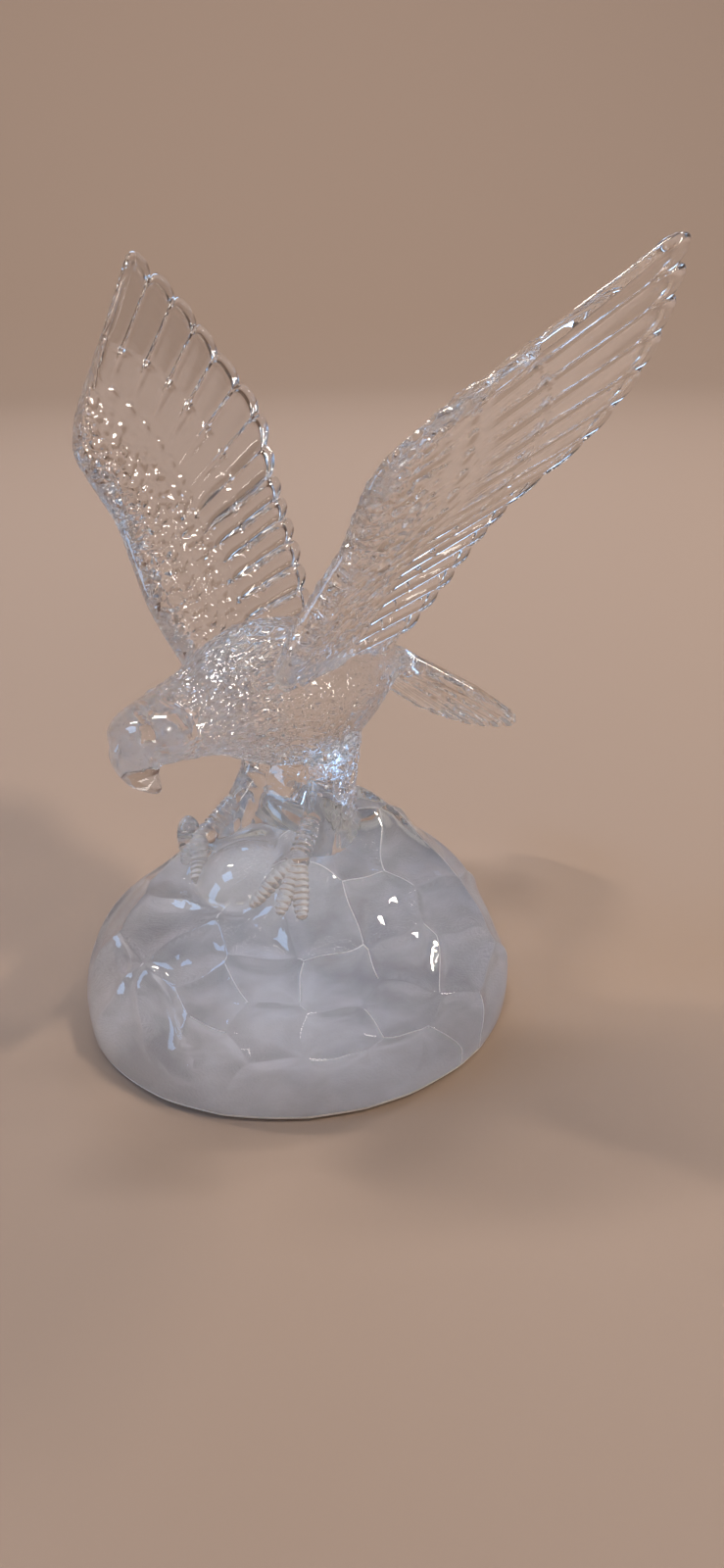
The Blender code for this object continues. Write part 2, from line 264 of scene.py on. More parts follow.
def scales(along, across, around, seed):
    """Heights from 0 to 1 of long rounded scales in staggered rows.

    along counts the rows, across the scales round the form, of which there are `around`.
    """
    chance = np.random.default_rng(seed)
    lift = chance.uniform(0.6, 1.0, (DRAWN_ROWS, around))
    slide = chance.uniform(-0.22, 0.22, (DRAWN_ROWS, around))
    best = np.zeros(np.broadcast(along, across).shape)
    first = np.floor(along).astype(int)
    for step in (-1, 0, 1, 2):
        row = first + step
        shift = 0.5 * (row % 2) + 0.17 * np.sin(1.7 * row)
        cell = np.round(across - shift).astype(int)
        picked = (row % DRAWN_ROWS, cell % around)
        u = along - row - slide[picked]
        v = across - shift - cell + 0.35 * slide[picked]
        height = np.clip(1 - (u / 0.68) ** 2 - (v / 0.53) ** 2, 0, 1)
        height = height * (0.7 + 0.3 * np.clip(0.5 + 0.6 * u, 0, 1))
        best = np.maximum(best, height**0.6 * lift[picked])
    return best


# Rock


def rock_swells():
    """Rows of (x, y, height, spread), as shares of the rock's radius and height."""
    return (
        (0.09, 0.34, 0.17, 0.21),
        (0.00, -0.15, 0.035, 0.28),
        (0.25, -0.24, 0.078, 0.13),
        (-0.27, -0.24, 0.078, 0.13),
        (-0.62, -0.05, -0.14, 0.20),
        (-0.86, -0.60, -0.045, 0.35),
    )


def boulder_shape():
    """Middle and half axes of the round boulder between the feet."""
    shares = np.array([(0.000, -0.285, 0.780), (0.245, 0.255, 0.273)])
    return shares * (ROCK_RADIUS, ROCK_RADIUS, ROCK_HEIGHT)


def rock_scoops():
    """Oval scoops: both ends on the unit ball, half the width as a share of its radius, depth."""
    return (
        ((-0.11, -0.81, 0.53), (0.19, -0.95, 0.08), 0.095, 0.0024),
        ((-0.44, -0.68, 0.54), (-0.22, -0.81, 0.45), 0.060, 0.0013),
    )


def facet_centres():
    """Middles of the facets on a unit ball: the front ones by place, the others on a spiral."""
    front = np.array(
        (
            ((0.38, -0.66), (0.29, -0.57), (0.09, -0.76), (0.24, -0.81), (0.48, -0.77)),
            ((0.70, -0.61), (0.61, -0.49), (0.81, -0.38), (0.76, -0.20), (0.62, -0.12)),
            ((0.89, 0.07), (0.97, -0.15), (0.86, -0.49), (0.74, -0.66), (0.53, -0.84)),
            ((0.25, -0.93), (0.03, -0.94), (-0.17, -0.95), (-0.37, -0.85), (-0.17, -0.67)),
            ((0.75, 0.18), (0.50, 0.23), (0.43, -0.40), (0.94, -0.33), (0.98, 0.14)),
        )
    ).reshape(-1, 2)
    rise = np.sqrt(np.clip(1 - (front**2).sum(axis=1), 0, 1))
    front = np.column_stack([front, rise])
    chance = np.random.default_rng(11)
    order = np.arange(HIDDEN_FACETS) + 0.5
    rise = 1 - order / HIDDEN_FACETS * 1.05
    turn = order * math.pi * (3 - math.sqrt(5)) + chance.normal(0, 0.22, HIDDEN_FACETS)
    flat = np.sqrt(np.clip(1 - rise**2, 0, 1))
    spread = np.stack([flat * np.cos(turn), flat * np.sin(turn), rise], axis=1)
    spread += chance.normal(0, 0.055, spread.shape)
    clear = np.linalg.norm(spread[:, None] - front[None], axis=2).min(axis=1) > 0.27
    both = np.vstack([front, spread[clear]])
    return both / np.linalg.norm(both, axis=1)[:, None]


FACET_MIDDLES = facet_centres()


def bent(points):
    """Places moved a little to and fro, so that the ridges between the facets wander."""
    x, y, z = points.T
    slow = np.sin([7 * y + 2 * z, 8 * z + 3 * x + 1, 6 * x - 4 * y + 2]).T
    quick = np.sin([21 * z + 9 * y, 19 * x - 8 * z, 23 * y + 7 * x]).T
    return points + 0.030 * slow + 0.011 * quick


def nearest_facets(places):
    """The nearest facet middles of each bent place, and how far they are."""
    gaps = np.linalg.norm(places[:, None] - FACET_MIDDLES[None], axis=2)
    order = np.argsort(gaps, axis=1)[:, :3]
    return order, np.take_along_axis(gaps, order, axis=1)


def rock_surface(round_points):
    """Points of the rock from points of a unit ball: shallow scoops with ridges between them."""
    gaps = nearest_facets(bent(round_points))[1]
    apart = (gaps[:, 1] - gaps[:, 0]) * ROCK_RADIUS
    apart = np.hypot(apart, RIDGE_ROUND) - RIDGE_ROUND
    sunk = FACET_DEPTH * (1 - np.exp(-apart / FACET_RIDGE))
    raised = np.zeros(len(round_points))
    for x, y, height, spread in rock_swells():
        gap = np.hypot(round_points[:, 0] - x, round_points[:, 1] - y)
        raised += height * ROCK_HEIGHT * np.exp(-0.5 * (gap / spread) ** 2)
    for high, low, half_width, depth in rock_scoops():
        high, low = (np.array(end) / np.linalg.norm(end) for end in (high, low))
        middle, long_way = (high + low) / 2, (high - low) / 2
        reach = np.linalg.norm(long_way)
        side_way = np.cross(middle, long_way)
        side_way /= np.linalg.norm(side_way)
        gap = round_points - middle / np.linalg.norm(middle)
        off = np.hypot(gap @ long_way / reach**2, gap @ side_way / half_width)
        raised -= depth * (np.clip(1 - off**2, 0, 1) - 0.25 * np.exp(-(((off - 1) / 0.10) ** 2)))
    fade = np.clip((round_points[:, 2] + 0.05) / 0.25, 0, 1)
    dome = round_points * (ROCK_RADIUS, ROCK_RADIUS, ROCK_HEIGHT - ROCK_WAIST)
    points = dome + (0, 0, ROCK_WAIST) + round_points * (raised - sunk * fade)[:, None]
    centre, radii = boulder_shape()
    beside = np.linalg.norm((points - centre) / radii, axis=1)
    points[:, 2] -= BOULDER_GROOVE * np.exp(-(((beside - 1.09) / 0.10) ** 2))
    return points


def cut_seams(shape, half_width):
    """Cuts the ball's faces, here at their bent places, on both sides of every ridge."""
    shape.verts.index_update()
    owner = nearest_facets(np.array([v.co for v in shape.verts]))[0][:, 0]
    pairs = set()
    for face in shape.faces:
        owners = sorted({int(owner[v.index]) for v in face.verts})
        pairs.update((a, b) for k, a in enumerate(owners) for b in owners[k + 1 :])
    for a, b in sorted(pairs):
        normal = Vector(FACET_MIDDLES[a] - FACET_MIDDLES[b]).normalized()
        for side in (-half_width, half_width):
            near = [f for f in shape.faces if abs(f.calc_center_median().dot(normal) - side) < 0.06]
            if not near:
                continue
            order = nearest_facets(np.array([f.calc_center_median() for f in near]))[0]
            keep = [f for f, own in zip(near, order) if {a, b} <= set(own[:2].tolist())]
            geom = set(keep)
            for face in keep:
                geom.update(face.edges)
                geom.update(face.verts)
            if keep:
                bmesh.ops.bisect_plane(
                    shape, geom=list(geom), plane_co=normal * side, plane_no=normal, dist=1e-6
                )


def half_ball(shape):
    """The upper half of a unit ball, with a fan at its top."""
    top = shape.verts.new((0, 0, 1))
    turns = np.arange(ROCK_SEGMENTS) * 2 * math.pi / ROCK_SEGMENTS
    rows = []
    for angle in np.linspace(0, 1, ROCK_RINGS + 1)[1:] * math.pi / 2:
        flat, level = math.sin(angle), math.cos(angle)
        rows.append([shape.verts.new((flat * math.cos(t), flat * math.sin(t), level)) for t in turns])
    for k in range(ROCK_SEGMENTS):
        after = (k + 1) % ROCK_SEGMENTS
        shape.faces.new((top, rows[0][k], rows[0][after]))
        for near, far in zip(rows, rows[1:]):
            shape.faces.new((near[k], far[k], far[after], near[after]))


def mark_seams(shape):
    """Marks the narrow faces along the ridges, but not along every ridge."""
    order, gaps = nearest_facets(np.array([f.calc_center_median() for f in shape.faces]))
    apart = np.linalg.norm(FACET_MIDDLES[order[:, 0]] - FACET_MIDDLES[order[:, 1]], axis=1)
    off = (gaps[:, 1] ** 2 - gaps[:, 0] ** 2) / (2 * apart) * ROCK_RADIUS
    near, far = order[:, :2].min(axis=1), order[:, :2].max(axis=1)
    seamed = (off < 0.5 * SEAM_WIDTH) & ((7 * near + 13 * far) % 10 >= 4)
    for face, seam in zip(shape.faces, seamed):
        face.material_index = SEAM if seam else CLEAR


def wall_and_underside(shape):
    """The low wall tucked in under the waist, the eased rim and the flat underside."""
    rim = [edge for edge in shape.edges if edge.is_boundary]
    tuck = math.sqrt(1 - ((ROCK_WAIST - RIM_BEVEL) / (ROCK_HEIGHT - ROCK_WAIST)) ** 2)
    bevel = RIM_BEVEL / ROCK_RADIUS
    levels = (
        (0.6 * ROCK_WAIST, 1 - (1 - tuck) * 0.25),
        (RIM_BEVEL, tuck),
        (0.3 * RIM_BEVEL, tuck - 0.3 * bevel),
        (0.0, tuck - bevel),
    )
    last = 1.0
    for height, share in levels:
        grown = bmesh.ops.extrude_edge_only(shape, edges=rim)["geom"]
        for vertex in (item for item in grown if isinstance(item, bmesh.types.BMVert)):
            vertex.co = (vertex.co.x * share / last, vertex.co.y * share / last, height)
        last = share
        rim = [item for item in grown if isinstance(item, bmesh.types.BMEdge) and item.is_boundary]
    for face in shape.faces:
        if max(v.co.z for v in face.verts) < 1.1 * RIM_BEVEL:
            face.material_index = FROSTED
    for face in bmesh.ops.contextual_create(shape, geom=rim)["faces"]:
        face.material_index = FROSTED


def rock():
    """The dome with its scoops and seams, its low wall and its underside."""
    shape = bmesh.new()
    half_ball(shape)
    home = shape.verts.layers.float_vector.new("home")
    for vertex, place in zip(shape.verts, bent(np.array([v.co for v in shape.verts]))):
        vertex[home] = vertex.co
        vertex.co = place
    cut_seams(shape, SEAM_WIDTH / 2 / ROCK_RADIUS)
    mark_seams(shape)
    homes = np.array([v[home].normalized() for v in shape.verts])
    for vertex, place in zip(shape.verts, rock_surface(homes)):
        vertex.co = place
    wall_and_underside(shape)
    bmesh.ops.recalc_face_normals(shape, faces=shape.faces)
    mesh = bpy.data.meshes.new("rock")
    shape.to_mesh(mesh)
    shape.free()
    return bpy.data.objects.new("rock", mesh)


def lump(name, centre, radii, segments):
    """A smooth egg-shaped lump."""
    shape = bmesh.new()
    bmesh.ops.create_uvsphere(shape, u_segments=segments, v_segments=segments // 2, radius=1)
    place = Matrix.LocRotScale(Vector(centre), None, Vector(radii))
    bmesh.ops.transform(shape, matrix=place, verts=shape.verts)
    mesh = bpy.data.meshes.new(name)
    shape.to_mesh(mesh)
    shape.free()
    return bpy.data.objects.new(name, mesh)


def boulder():
    """The round stone between the feet."""
    return lump("boulder", *boulder_shape(), 56)


def on_rock(x, y):
    """The point of the rock's surface above a place on the ground."""
    flat = np.array([x, y]) / ROCK_RADIUS
    above = np.array([[*flat, math.sqrt(max(0.0, 1 - flat.dot(flat)))]])
    return rock_surface(above)[0]


def knob():
    """The small upright knob at the right foot."""
    width = 0.112 * ROCK_RADIUS
    centre = on_rock(-0.300 * ROCK_RADIUS, -0.300 * ROCK_RADIUS) + (0, 0, 0.45 * width)
    return lump("knob", centre, (0.5 * width, 0.5 * width, 0.9 * width), 24)


# Body, head and beak


def ankle(side):
    """The middle of the ankle on the left, side 1, or on the right, side -1."""
    x, y = np.array([0.151 * side, -0.160]) * BODY_LENGTH
    level = (on_rock(x, y)[2] + on_rock(-x, y)[2]) / 2
    return np.array([x, y, level + ANKLE_LIFT])


PERCH = ankle(1)[2]


def middle_grid(table, count, segments):
    """Rings through ovals in the middle plane: (top y, top z, bottom y, bottom z, half width)."""
    rows = through(np.array(table) * BODY_LENGTH, np.linspace(0, 1, count))
    top = np.stack([0 * rows[:, 0], rows[:, 0], rows[:, 1] + PERCH], axis=1)
    low = np.stack([0 * rows[:, 0], rows[:, 2], rows[:, 3] + PERCH], axis=1)
    across = np.stack([rows[:, 4], 0 * rows[:, 4], 0 * rows[:, 4]], axis=1)
    return ovals((top + low) / 2, across, (top - low) / 2, segments)


def arc_length(grid):
    """How far along the form each ring of a grid is."""
    middles = grid.mean(axis=1)
    return np.concatenate([[0], np.cumsum(np.linalg.norm(np.diff(middles, axis=0), axis=1))])


def body():
    """Body, neck and head in one: (top y, top z, bottom y, bottom z, half width), scaled."""
    table = (
        (-0.568, 0.425, -0.560, 0.397, 0.021),
        (-0.553, 0.459, -0.528, 0.370, 0.070),
        (-0.510, 0.484, -0.480, 0.353, 0.099),
        (-0.450, 0.497, -0.422, 0.345, 0.109),
        (-0.376, 0.506, -0.372, 0.336, 0.112),
        (-0.286, 0.526, -0.286, 0.311, 0.126),
        (-0.185, 0.558, -0.185, 0.261, 0.158),
        (-0.067, 0.576, -0.076, 0.206, 0.187),
        (0.059, 0.557, 0.042, 0.176, 0.192),
        (0.189, 0.517, 0.160, 0.189, 0.176),
        (0.328, 0.458, 0.277, 0.224, 0.134),
        (0.445, 0.399, 0.387, 0.267, 0.095),
        (0.529, 0.359, 0.487, 0.286, 0.080),
        (0.604, 0.311, 0.574, 0.256, 0.084),
    )
    grid = middle_grid(table, BODY_RINGS, BODY_SEGMENTS)
    along = arc_length(grid)[:, None] / SCALE_LENGTH
    across = places_round(BODY_SEGMENTS) * BODY_SCALES
    start = ramp(HEAD_END - 0.002, HEAD_END + 0.004, grid[..., 1])
    small = np.clip(1 - ramp(-0.045, -0.012, grid[..., 1]) * 0.25, 0, 1)
    normal = outward(grid)
    back = ramp(0.55, 0.9, normal[..., 2]) * ramp(-0.040, -0.020, grid[..., 1])
    plain = scales(along, across, BODY_SCALES, 3)
    fine = scales(along * 0.62, across * 1.8, round(BODY_SCALES * 1.8), 4) * 0.7
    relief = (plain * (1 - back) + fine * back - 0.3) * BODY_RELIEF * start * small
    return tube_object("body", grid + normal * relief[..., None], grid[..., 1] > HEAD_END)


def beak():
    """The hooked beak, in rows like the body's."""
    table = (
        (-0.504, 0.492, -0.420, 0.374, 0.080),
        (-0.571, 0.445, -0.458, 0.353, 0.070),
        (-0.587, 0.403, -0.471, 0.349, 0.055),
        (-0.576, 0.361, -0.476, 0.340, 0.045),
        (-0.546, 0.319, -0.472, 0.320, 0.035),
        (-0.508, 0.292, -0.467, 0.298, 0.024),
        (-0.481, 0.278, -0.469, 0.281, 0.009),
    )
    return tube_object("beak", middle_grid(table, 40, 40))


# Wings


def wing_frame():
    """Unit vectors of the left wing: out along it, back across it, and off its inner face."""
    lean, toe = math.radians(WING_LEAN), math.radians(WING_TOE_OUT)
    out = Vector((math.sin(lean), 0, math.cos(lean)))
    back = Vector((math.sin(toe), math.cos(toe), 0))
    back = (back - back.project(out)).normalized()
    return np.array([out, back, out.cross(back)])


def wing_lines(places):
    """Root and tip of the feather lines: (out, back, inward) as shares of the wing's length."""
    roots = (
        (0.600, 0.098, 0.032),
        (0.553, 0.050, 0.030),
        (0.482, 0.002, 0.027),
        (0.405, 0.006, 0.023),
        (0.318, 0.024, 0.015),
        (0.225, 0.010, 0.006),
        (0.118, -0.004, -0.003),
        (-0.020, 0.012, -0.012),
    )
    tips = (
        (1.012, 0.564, 0.047),
        (0.890, 0.667, 0.033),
        (0.730, 0.728, 0.021),
        (0.540, 0.735, 0.032),
        (0.355, 0.620, 0.045),
        (0.240, 0.573, 0.044),
        (0.120, 0.535, 0.032),
        (0.000, 0.480, 0.020),
    )
    return through(roots, np.asarray(places) ** WING_FAN), through(tips, places)


def covert_ends(place):
    """How far down a feather line the middle and the greater coverts reach, as shares of it."""
    middle = 0.36 - 0.12 * np.exp(-place / 0.06) + 0.08 * np.clip((place - 0.5) / 0.2, 0, 1)
    return middle, 0.655 - 0.25 * np.exp(-place / 0.12)


def stretched(rows, place):
    """Shares of the feather lines whose rows 0.3 and 0.6 lie at the ends of the two coverts."""
    middle, greater = covert_ends(place)
    between = middle + (rows - 0.3) / 0.3 * (greater - middle)
    high = greater + (rows - 0.6) / 0.4 * (1 - greater)
    return np.where(rows < 0.3, rows / 0.3 * middle, np.where(rows < 0.6, between, high))


def feather_places(feathers):
    """Places across a row of feathers, with how far each is across its own feather."""
    across = np.array([(k, f) for k in range(feathers) for f in COLUMNS] + [(feathers - 1, 1.0)])
    return across.sum(axis=1) / feathers, across[:, 1]


def rounding(fraction):
    """How far a rounded end draws back across one feather: none at its middle, all at its sides."""
    return 1 - np.sqrt(np.clip(1 - (2 * fraction - 1) ** 2, 0, 1))


def layer(share, place, count, end, depth, shift):
    """How high a row of feathers lies on the wing: most at the rounded ends, 0 past them."""
    number = place * count + shift
    fraction = number - np.floor(number)
    edge = end - depth * rounding(fraction)
    side = 1 - (2 * fraction - 1) ** 2
    lip = np.exp(-(((edge - share) / 0.022) ** 2)) * np.exp(-(((fraction - 0.5) / 0.24) ** 2))
    return (1 - ramp(edge - 0.006, edge + 0.006, share)) * (0.12 * side + 0.88 * lip)


def wing_rows():
    """Where the rows of points lie down the feather lines, closest at covert ends and tips."""
    parts = (
        (0, 0.004, 0.013, 0.028),
        np.linspace(0.042, 0.24, 21),
        np.linspace(0.25, 0.31, 8),
        np.linspace(0.335, 0.53, 8),
        np.linspace(0.545, 0.61, 9),
        (0.66, 0.72, 0.78, 0.84, 0.89, 0.925, 0.945, 0.96, 0.973, 0.984, 0.992, 0.997, 1.0),
    )
    return np.concatenate(parts)[:, None]


def feather_lines(share, place, fraction):
    """Points down the feather lines, drawn back at both sides of each rounded end."""
    root, tip = wing_lines(place[0])
    drawn = (0.048 + 0.05 * np.exp(-((place * WING_FEATHERS) ** 2))) * rounding(fraction)
    along = share * (1 - drawn * np.clip((share - 0.3) / 0.5, 0, 1))
    return root[None] + along[..., None] * (tip - root)[None]


def wing_crown(rows, place, beside, rolled):
    """How thick the wing is, as a share of the arm: thick at the front edge and the rims."""
    base = np.interp(
        rows,
        [0, 0.004, 0.013, 0.028, 0.09, 0.25, 0.3, 0.6, 0.93],
        [0.12, 0.36, 0.56, 0.70, 0.80, 0.72, 0.62, 0.46, 0.33],
    )
    crown = 1 - rolled * (1 - np.sqrt(1 - 0.95 * beside**2))
    rim = 0.42 * np.exp(-(((rows - 0.965) / 0.022) ** 2))
    ridge = np.interp(place, [0.42, 0.58], [0.18, 0.0]) * np.exp(-(((1 - beside) / 0.2) ** 2))
    crown += rim + ridge * ramp(0.32, 0.5, rows)
    inside = place * WING_FEATHERS
    crown += 0.55 * np.exp(-(((inside - 0.13) / 0.13) ** 2)) * ramp(0.02, 0.3, rows)
    crown *= np.sqrt(1 - 0.94 * np.clip(1 - 8 * inside, 0, 1) ** 2)
    return base * crown


def coverts(rows, place):
    """Relief of the three rows of coverts."""
    cover = COVERT_HEIGHT * layer(rows, place, WING_FEATHERS, 0.60, 0.05, 0.5)
    cover += COVERT_HEIGHT * layer(rows, place, WING_FEATHERS + 3, 0.30, 0.045, 0.0)
    return cover + SMALL_COVERT_HEIGHT * layer(rows, place, WING_FEATHERS + 8, 0.22, 0.035, 0.3)


def wing():
    """The left wing: scaled arm, three rows of coverts and long flight feathers with thick rims."""
    rows = wing_rows()
    place, fraction = feather_places(WING_FEATHERS)
    place, fraction = place[None], fraction[None]
    share = stretched(rows, place)
    spine = feather_lines(share, place, fraction)
    beside = np.abs(2 * fraction - 1)
    rolled = ramp(0.42, 0.58, place) * ramp(0.30, 0.40, rows)
    ends = np.interp(np.stack([place**WING_FAN, place]), [0.1, 0.6], [HAND_SHARE, 1])
    strength = ends[0] + (ends[1] - ends[0]) * share
    half = 0.5 * ARM_THICKNESS * wing_crown(rows, place, beside, rolled) * strength
    close = np.sqrt(np.clip(1 - ((rows - 0.972) / 0.0285).clip(0, 1) ** 2, 0, 1))
    lean = np.interp(place, [0.4, 0.6], [PRIMARY_TILT, SECONDARY_TILT])
    tilt = (0.5 - fraction) * lean * ramp(0.5, 0.62, rows) * close
    wave = np.sin(58 * share + 3 * np.sin(9 * share)) * ramp(0.9, 0.6, rows)
    beads = BEAD_HEIGHT * np.exp(-((place * WING_FEATHERS / 0.25) ** 2)) * wave
    arched = np.sqrt(1 - 0.95 * beside**2) - 0.6
    roll = ROLL_HEIGHT * arched * ramp(0.3, 0.45, rows) * (1 - rolled)
    past_arm = share - np.interp(place, [0.2, 0.6], [0.16, 0.36])
    arm_share = (1 - ramp(0.0, 0.10, past_arm)) * ramp(0.0, 0.02, rows)
    cells = spine * WING_LENGTH / ARM_SCALE
    row, column = cells[..., 1] + 2, cells[..., 0] - 0.35 * cells[..., 1] + 12
    strips = np.linspace(0, 1, ROOT_ROWS)[1:]
    sink = ((0.35 + 0.65 * share[:, -1]) * WING_SINK)[:, None, None] * strips[None, :, None]
    out, back, inward = wing_frame()
    shoulder = np.array([0.134, -0.202, 0.5]) * BODY_LENGTH + (0, 0, PERCH)
    middles = shoulder + spine @ np.array([out, back, inward]) * WING_LENGTH
    faces = []
    for side, seed, depth in ((1, 5, 1.0), (-1, 6, 0.3)):
        arm = (scales(row, column, DRAWN_ROWS, seed) - 0.3) * ARM_RELIEF * arm_share
        relief = depth * (coverts(rows, place) + arm) + beads + (side < 0) * roll
        offset = side * (half + relief * strength**0.5) * close + tilt
        face = middles + offset[..., None] * inward
        low = scales(cells[:, -1:, 1] * 0.75, strips[None] * 3.2, DRAWN_ROWS, seed + 7)
        under = (low - 0.3) * ROOT_RELIEF * np.sin(math.pi * strips**0.7)[None] * close
        strip = face[:, -1:] - sink * out + (side * under)[..., None] * inward
        faces.append(np.concatenate([face, strip], axis=1))
    plumage = np.concatenate([share < 0.12, np.ones((len(rows), len(strips)), dtype=bool)], axis=1)
    return sheet_object("wing", *faces, plumage)


# Tail


def tail():
    """A fan of long feathers, arched across, matt in places towards their ends."""
    drop = math.radians(TAIL_DROP)
    along = np.array([0, math.cos(drop), -math.sin(drop)])
    above = np.array([0, math.sin(drop), math.cos(drop)])
    start = np.array([0, 0.462, 0.342]) * BODY_LENGTH + (0, 0, PERCH)
    ends = [0.925, 0.945, 0.963, 0.978, 0.989, 0.996, 1.0]
    share = np.concatenate([np.linspace(0, 0.9, 30), ends])[:, None]
    place, fraction = feather_places(TAIL_FEATHERS)
    place, fraction = place[None], fraction[None]
    side = 2 * place - 1
    wide = np.interp(share, [0, 0.16, 0.45, 0.84, 1.0], [0.32, 0.50, 0.86, 1.0, 0.90])
    drawn = 0.018 * rounding(fraction) * ramp(0.3, 0.9, share)
    reach = TAIL_LENGTH * (1.0 - 0.09 * side**2) * (1 - drawn)
    beside = np.abs(2 * fraction - 1)
    sunk = 0.12 * beside**1.5 + 0.62 * np.exp(-(((1 - beside) / 0.12) ** 2))
    groove = 1 - sunk * ramp(0.04, 0.15, share)
    shaft = np.exp(-((beside / 0.16) ** 2))
    groove -= 0.12 * shaft * ramp(0.1, 0.25, share) * ramp(0.95, 0.8, share)
    groove += 0.35 * np.exp(-(((share - 0.955) / 0.025) ** 2))
    edge = 1 - 0.35 * side**2 * np.clip(1 - 2 * share, 0, 1)
    thick = TAIL_THICKNESS * np.interp(share, [0, 0.3, 0.93, 1], [1.7, 1.4, 0.85, 0.8])
    close = np.sqrt(np.clip(1 - ((share - 0.93) / 0.072).clip(0, 1) ** 2, 0, 1))
    half = 0.5 * thick * groove * edge * close
    tilt = np.sign(side) * (0.5 - fraction) * TAIL_TILT * ramp(0.2, 0.4, share) * close
    arch = 0.08 * TAIL_HALF_WIDTH * side**2 + tilt
    middle = (
        start
        + (share * reach)[..., None] * along
        + (side * wide * TAIL_HALF_WIDTH)[..., None] * np.array([1.0, 0, 0])
    )
    upper = middle + (arch + half)[..., None] * above
    lower = middle + (arch - half)[..., None] * above
    # The matt patches also carry a painted bluish sheen in their material.
    matt_from = 0.62 + 0.08 * (3 * np.floor(place * TAIL_FEATHERS) % 4)
    return sheet_object("tail", upper, lower, (share > matt_from) & (beside < 0.5), MATT_PAINTED_SHEEN)


# Legs and feet


def upright_ovals(centres, half_widths, half_depths, segments):
    """A grid of level ellipses with half axes along X and Y."""
    zero = 0 * half_widths
    across = np.stack([half_widths, zero, zero], axis=1)
    return ovals(centres, across, np.stack([zero, half_depths, zero], axis=1), segments)


def leg():
    """The left leg in its feather trouser: (x, y, z, half width, half depth)."""
    table = (
        (0.092, 0.050, 0.340, 0.076, 0.143),
        (0.101, 0.063, 0.256, 0.067, 0.109),
        (0.105, 0.066, 0.172, 0.059, 0.080),
        (0.118, 0.035, 0.105, 0.052, 0.088),
        (0.130, 0.002, 0.046, 0.046, 0.113),
        (0.140, -0.012, -0.004, 0.040, 0.138),
        (0.142, -0.015, -0.080, 0.036, 0.145),
    )
    rows = through(np.array(table) * BODY_LENGTH, np.linspace(0, 1, LEG_RINGS))
    centres = rows[:, :3] + (0, 0, PERCH)
    grid = upright_ovals(centres, rows[:, 3], rows[:, 4], LEG_SEGMENTS)
    along = arc_length(grid)[:, None] / LEG_SCALE
    across = places_round(LEG_SEGMENTS) * LEG_SCALES
    height = grid[..., 2] - PERCH
    deep = (grid[..., 1] - centres[:, None, 1]) / rows[:, None, 4]
    limit = 0.0085 - 0.011 * deep + 0.0016 * np.abs(np.sin(math.pi * across))
    feathered = ramp(limit - 0.001, limit + 0.001, height)
    relief = (scales(along, across, LEG_SCALES, 8) - 0.3) * LEG_RELIEF * feathered
    ridges = np.abs(np.sin(1.5 * math.pi * across)) * ramp(-0.6, -0.2, deep)
    relief += LEG_WAVE * ridges * (1 - feathered)
    return tube_object("leg", grid + outward(grid) * relief[..., None], height > limit)


def web():
    """The glass between the legs: (y, z, half width, half depth)."""
    table = (
        (0.067, 0.273, 0.120, 0.101),
        (0.076, 0.172, 0.130, 0.070),
        (0.058, 0.088, 0.145, 0.072),
        (0.030, 0.004, 0.155, 0.082),
        (0.020, -0.097, 0.155, 0.084),
    )
    rows = through(np.array(table) * BODY_LENGTH, np.linspace(0, 1, WEB_RINGS))
    centres = np.stack([0 * rows[:, 0], rows[:, 0], rows[:, 1] + PERCH], axis=1)
    grid = upright_ovals(centres, rows[:, 2], rows[:, 3], WEB_SEGMENTS)
    deep = (grid[..., 1] - centres[:, None, 1]) / rows[:, None, 3]
    along = arc_length(grid)[:, None] / LEG_SCALE
    across = places_round(WEB_SEGMENTS) * WEB_SCALES
    rear = ramp(0.0, 0.3, deep)
    relief = (scales(along, across, WEB_SCALES, 9) - 0.3) * WEB_RELIEF * rear
    relief += LEG_WAVE * np.sin(700 * grid[..., 2] + 240 * grid[..., 0]) * (1 - rear)
    return tube_object("web", grid + outward(grid) * relief[..., None], deep > 0.1)


def ridged_tube(name, points, radii, segments, relief, milky=False):
    """A closed round form through points, ringed with small cross ridges, clear or milky."""
    points = np.asarray(points, float)
    heading = np.gradient(points, axis=0)
    across, above = [], []
    for turn in heading:
        aim = Vector(turn).to_track_quat("Z", "Y").to_matrix()
        across.append(np.array(aim.col[0]))
        above.append(np.array(aim.col[1]))
    far = np.concatenate([[0], np.cumsum(np.linalg.norm(np.diff(points, axis=0), axis=1))])
    wave = np.abs(np.sin(math.pi * far / TOE_RIDGE)) ** 0.7
    radii = radii + relief * (wave - 0.6)
    close = np.sqrt(np.clip(1 - np.clip((far - far[-1] + 0.0016) / 0.00165, 0, 1) ** 2, 0, 1))
    radii = (radii * np.maximum(close, 0.12))[:, None]
    grid = ovals(points, np.array(across) * radii, np.array(above) * radii, segments)
    return tube_object(name, grid, np.full(grid.shape[:2], milky), MILKY)


def shank():
    """The bare part of the left leg, from the feathers down to the ankle."""
    top = np.array([0.128, -0.067, 0.063]) * BODY_LENGTH + (0, 0, PERCH)
    low = np.array([0.151, -0.160, 0.000]) * BODY_LENGTH + (0, 0, PERCH)
    share = np.linspace(0, 1, 40)[:, None]
    points = top + (low - top) * share
    return ridged_tube("shank", points, np.full(40, 1.15 * TOE_RADIUS), 22, SHANK_RELIEF)


def knuckle():
    """The round knuckle at the left ankle."""
    return lump("knuckle", ankle(1), [1.35 * TOE_RADIUS] * 3, 24)


